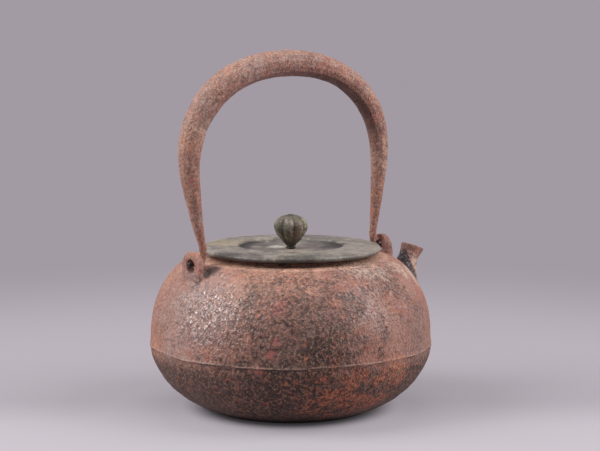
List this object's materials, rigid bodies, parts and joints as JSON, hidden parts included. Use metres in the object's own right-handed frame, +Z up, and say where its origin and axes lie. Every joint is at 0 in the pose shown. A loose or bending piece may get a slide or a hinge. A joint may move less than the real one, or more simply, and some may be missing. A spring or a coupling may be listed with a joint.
{
  "type": "tetsubin kettle",
  "caption": "Cast-iron tea kettle: wide squat pot, short upright spout, arched handle that swings in pierced lugs, and a lift-off bronze lid with a bud knob.",
  "frame": {"origin": "centre of the flat base, on the surface that the kettle stands on", "axes": "+Z up, +X towards the spout, +Y across, so the handle's arch lies in the XZ plane"},
  "size_m": [0.183, 0.1662, 0.2089],
  "materials": {
    "body_iron": "rusted, pebbled casting skin",
    "handle_iron": "rusted, forged",
    "lid_bronze": "dull grey-green patina",
    "knob_bronze": "dark olive-brown patina"
  },
  "bodies": {
    "kettle": {"kettle_body": "body_iron"},
    "handle": {"handle_bow": "handle_iron", "hook_rear": "handle_iron", "hook_front": "handle_iron"},
    "lid": {"lid_plate": "lid_bronze"},
    "knob_assembly": {"knob": "knob_bronze", "knob_washer": "knob_bronze", "knob_rivet": "knob_bronze", "rivet_washer": "lid_bronze"}
  },
  "joints": [
    {"name": "handle_swing", "type": "hinge", "parent": "kettle", "child": "handle", "pos_m": [0, 0, 0.08968], "axis": [1, 0, 0], "range_deg": [-82, 82]},
    {"name": "lid_lift", "type": "slide", "parent": "kettle", "child": "lid", "axis": [0, 0, 1], "range_m": [0, 0.06]},
    {"name": "knob_turn", "type": "hinge", "parent": "lid", "child": "knob_assembly", "pos_m": [0, 0, 0.0934], "axis": [0, 0, 1], "continuous": true}
  ]
}
